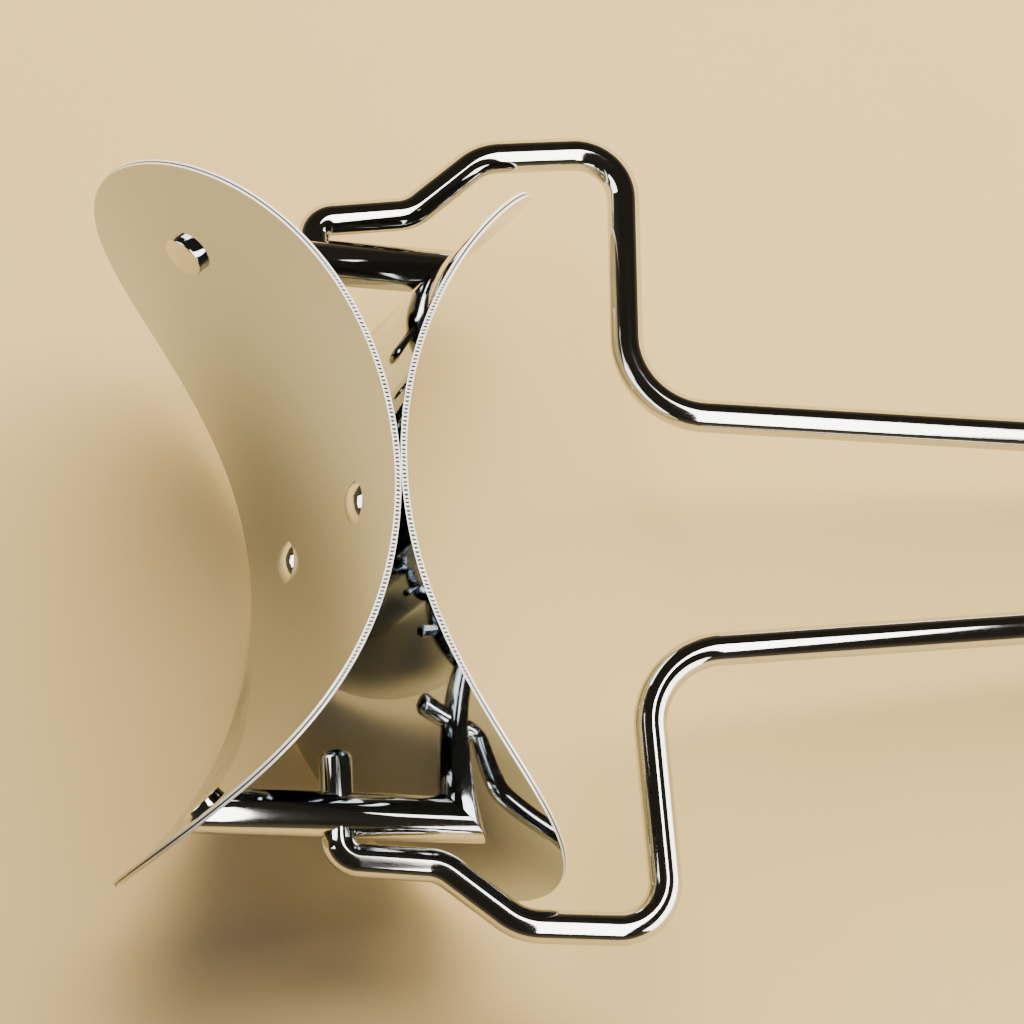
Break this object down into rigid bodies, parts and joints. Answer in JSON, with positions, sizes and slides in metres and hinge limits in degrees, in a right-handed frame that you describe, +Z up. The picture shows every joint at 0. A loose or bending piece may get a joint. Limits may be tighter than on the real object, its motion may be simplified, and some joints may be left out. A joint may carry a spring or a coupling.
{
  "type": "rolling dough cutter",
  "caption": "Rolling cutter for dough rounds: a turning head of arched sheet blades riveted back to back, held in a sprung wire yoke that closes into a loop handle.",
  "frame": {"origin": "on the table, below the middle of the whole cutter's box", "axes": "+X from the cutting head to the far end of the handle, +Y along the head's spin axis, +Z up from the table"},
  "size_m": [0.1646, 0.0804, 0.042],
  "materials": {
    "polished_sheet": "mirror polished stainless sheet, lightly smudged",
    "rivet_steel": "polished rivet heads",
    "polished_bar": "bright turned bar",
    "polished_wire": "bright drawn wire with faint lengthwise draw lines"
  },
  "bodies": {
    "handle": {"wire_yoke": "polished_wire"},
    "head": {"front_blade": "polished_sheet", "rear_blade": "polished_sheet", "upper_seam_rivet": "rivet_steel", "lower_seam_rivet": "rivet_steel", "left_spacer_bar": "polished_bar", "right_spacer_bar": "polished_bar", "left_front_end_rivet": "rivet_steel", "left_rear_end_rivet": "rivet_steel", "right_front_end_rivet": "rivet_steel", "right_rear_end_rivet": "rivet_steel"}
  },
  "joints": [
    {"name": "head_spin", "type": "hinge", "parent": "handle", "child": "head", "pos_m": [-0.06134, 0, 0.021], "axis": [0, 1, 0], "continuous": true}
  ]
}
